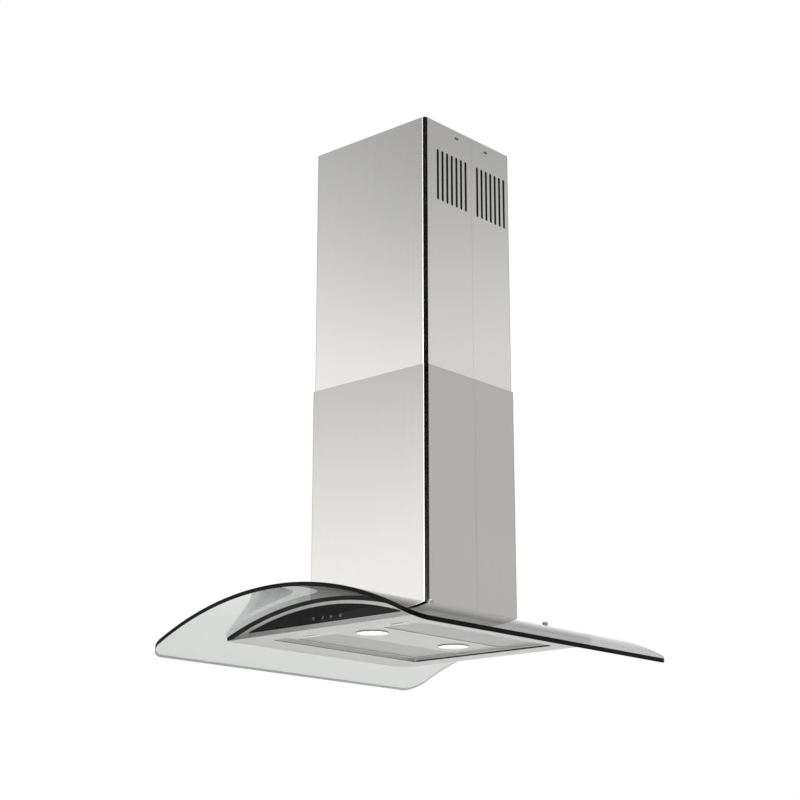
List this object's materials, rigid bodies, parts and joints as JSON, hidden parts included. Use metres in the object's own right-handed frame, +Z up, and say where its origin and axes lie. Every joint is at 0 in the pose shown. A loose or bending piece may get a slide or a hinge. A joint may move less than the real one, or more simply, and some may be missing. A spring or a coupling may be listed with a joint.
{
  "type": "island range hood",
  "caption": "Ceiling-hung island range hood with a curved glass canopy, arched steel body with touch panel, swing-down grease filters and a telescopic chimney.",
  "frame": {"origin": "centre of the ceiling plate's top face, where the hood meets the ceiling", "axes": "+Z up to the ceiling, -Y to the front with the touch panel, +X to the right seen from the front"},
  "size_m": [0.712, 0.812, 1.1125],
  "materials": {
    "stainless": "fine brushed satin",
    "zinc_steel": "plain zinc plated sheet",
    "clear_glass": "clear tempered, polished edge",
    "black_glass": "opaque black, glossy",
    "lens_glass": "frosted",
    "black_rubber": "matt",
    "grey_silicone": "matt",
    "chrome": "bright",
    "filter_aluminium": "satin",
    "latch_plastic": "satin grey",
    "white_plastic": "matt",
    "grey_plastic": "matt",
    "black_plastic": "matt",
    "motor_paint": "satin",
    "bright_steel": "turned",
    "board_green": "satin",
    "spring_steel": "plain wire"
  },
  "bodies": {
    "ceiling_frame": {"ceiling_plate": "zinc_steel", "frame_screws": "bright_steel", "upper_post_front_left": "zinc_steel", "upper_post_front_right": "zinc_steel", "upper_post_rear_left": "zinc_steel", "upper_post_rear_right": "zinc_steel"},
    "upper_cover": {"upper_cover_front": "stainless", "upper_cover_rear": "stainless"},
    "blower": {"blower_wheel": "grey_plastic", "motor_shaft": "bright_steel"},
    "damper_left": {"damper_flap_left": "black_plastic"},
    "damper_right": {"damper_flap_right": "black_plastic"},
    "filter_left": {"filter_frame_left": "filter_aluminium", "filter_mesh_left": "filter_aluminium", "latch_housing_left": "latch_plastic", "latch_spring_left": "spring_steel"},
    "latch_left": {"latch_slider_left": "latch_plastic"},
    "filter_right": {"filter_frame_right": "filter_aluminium", "filter_mesh_right": "filter_aluminium", "latch_housing_right": "latch_plastic", "latch_spring_right": "spring_steel"},
    "latch_right": {"latch_slider_right": "latch_plastic"},
    "hood": {"blower_box": "zinc_steel", "cap_nuts": "chrome", "capacitor": "white_plastic", "control_box": "grey_plastic", "control_box_lid": "grey_plastic", "cover_brackets": "zinc_steel", "damper_pins": "bright_steel", "frame_bolts": "bright_steel", "frame_nuts": "bright_steel", "glass_canopy": "clear_glass", "glass_seal": "black_rubber", "glass_spacers": "black_rubber", "glass_studs": "bright_steel", "hood_body": "stainless", "lamp_bezel_front": "chrome", "lamp_bezel_rear": "chrome", "lamp_housing_front": "white_plastic", "lamp_housing_rear": "white_plastic", "lamp_lens_front": "lens_glass", "lamp_lens_rear": "lens_glass", "lamp_panel": "stainless", "lower_cover_front": "stainless", "lower_cover_rear": "stainless", "lower_post_front_left": "zinc_steel", "lower_post_front_right": "zinc_steel", "lower_post_rear_left": "zinc_steel", "lower_post_rear_right": "zinc_steel", "mains_gland": "black_plastic", "motor": "motor_paint", "motor_bracket": "zinc_steel", "outlet_collar": "black_plastic", "scroll_front": "white_plastic", "scroll_rear": "white_plastic", "throat_seal": "grey_silicone", "touch_board": "board_green", "touch_panel": "black_glass", "underside_frame": "stainless"}
  },
  "joints": [
    {"name": "hood_height", "type": "slide", "parent": "ceiling_frame", "child": "hood", "axis": [0, 0, 1], "range_m": [0, 0.36]},
    {"name": "upper_cover_slide", "type": "slide", "parent": "ceiling_frame", "child": "upper_cover", "axis": [0, 0, 1], "range_m": [-0.38, 0]},
    {"name": "blower_spin", "type": "hinge", "parent": "hood", "child": "blower", "pos_m": [-0.059, 0, -0.888], "axis": [0, 1, 0], "continuous": true},
    {"name": "damper_left_swing", "type": "hinge", "parent": "hood", "child": "damper_left", "pos_m": [-0.005, 0, -0.6944], "axis": [0, 1, 0], "range_deg": [0, 80]},
    {"name": "damper_right_swing", "type": "hinge", "parent": "hood", "child": "damper_right", "pos_m": [0.005, 0, -0.6944], "axis": [0, -1, 0], "range_deg": [0, 80]},
    {"name": "filter_left_swing", "type": "hinge", "parent": "hood", "child": "filter_left", "pos_m": [-0.11775, 0.213, -1.0665], "axis": [1, 0, 0], "range_deg": [0, 65]},
    {"name": "latch_left_pull", "type": "slide", "parent": "filter_left", "child": "latch_left", "axis": [0, 1, 0], "range_m": [0, 0.008], "stiffness_N_per_m": 600, "springref_m": -0.006, "deforming": ["latch_spring_left"]},
    {"name": "filter_right_swing", "type": "hinge", "parent": "hood", "child": "filter_right", "pos_m": [0.11775, 0.213, -1.0665], "axis": [1, 0, 0], "range_deg": [0, 65]},
    {"name": "latch_right_pull", "type": "slide", "parent": "filter_right", "child": "latch_right", "axis": [0, 1, 0], "range_m": [0, 0.008], "stiffness_N_per_m": 600, "springref_m": -0.006, "deforming": ["latch_spring_right"]}
  ]
}
